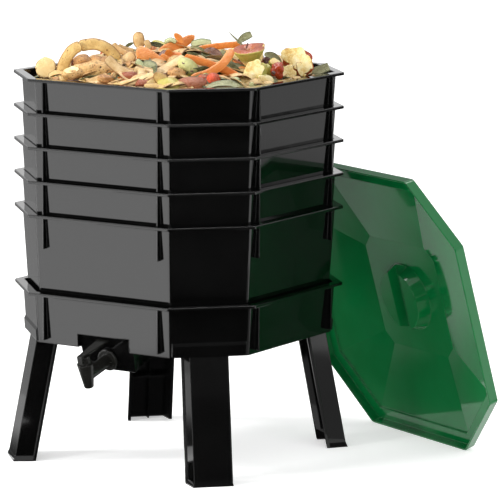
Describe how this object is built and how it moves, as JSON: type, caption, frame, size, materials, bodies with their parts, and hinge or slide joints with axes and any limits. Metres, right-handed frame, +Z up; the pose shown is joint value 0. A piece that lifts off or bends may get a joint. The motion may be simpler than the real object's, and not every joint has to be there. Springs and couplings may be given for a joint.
{
  "type": "wormery",
  "caption": "Stack of nested octagonal worm composting trays on a legged sump base with a barrel tap, and its domed lid standing beside it.",
  "frame": {"origin": "floor level, at the middle of the footprint of the stack and the lid standing beside it", "axes": "+Z up; the tap points towards -Y; the lid stands on the +X and +Y side of the stack"},
  "size_m": [0.7712, 0.7338, 0.7447],
  "materials": {
    "black_plastic": "glossy",
    "tap_plastic": "satin",
    "washer_rubber": "matt",
    "green_plastic": "glossy",
    "compost": "matt",
    "mixed_scraps": "matt",
    "potato": "matt",
    "carrot": "matt",
    "apple": "matt"
  },
  "bodies": {
    "base": {"base": "black_plastic", "leg_1": "black_plastic", "leg_2": "black_plastic", "leg_3": "black_plastic", "leg_4": "black_plastic", "tap_body": "tap_plastic", "tap_washer_outer": "washer_rubber", "tap_washer_inner": "washer_rubber", "tap_nut": "tap_plastic"},
    "tray_5": {"tray_5": "black_plastic"},
    "tray_4": {"tray_4": "black_plastic"},
    "tray_3": {"tray_3": "black_plastic"},
    "tray_2": {"tray_2": "black_plastic"},
    "tray_1": {"tray_1": "black_plastic", "bedding": "compost", "scraps_heap": "mixed_scraps", "potato_pieces": "potato", "potato_peel": "potato", "carrot_ribbons": "carrot", "apple_cores": "apple"},
    "tap_valve": {"tap_plug": "tap_plastic", "tap_lever": "tap_plastic"},
    "lid": {"lid": "green_plastic"}
  },
  "joints": [
    {"name": "tray_5_lift", "type": "slide", "parent": "base", "child": "tray_5", "axis": [0, 0, 1], "range_m": [0, 0.06]},
    {"name": "tray_4_lift", "type": "slide", "parent": "tray_5", "child": "tray_4", "axis": [0, 0, 1], "range_m": [0, 0.11]},
    {"name": "tray_3_lift", "type": "slide", "parent": "tray_4", "child": "tray_3", "axis": [0, 0, 1], "range_m": [0, 0.11]},
    {"name": "tray_2_lift", "type": "slide", "parent": "tray_3", "child": "tray_2", "axis": [0, 0, 1], "range_m": [0, 0.11]},
    {"name": "tray_1_lift", "type": "slide", "parent": "tray_2", "child": "tray_1", "axis": [0, 0, 1], "range_m": [0, 0.11]},
    {"name": "lid_lift", "type": "slide", "parent": "base", "child": "lid", "axis": [0, 0, 1], "range_m": [0, 0.7]},
    {"name": "tap_turn", "type": "hinge", "parent": "base", "child": "tap_valve", "pos_m": [-0.13555, -0.34316, 0.18066], "axis": [0, -0.2588, 0.9659], "range_deg": [0, 90]}
  ]
}
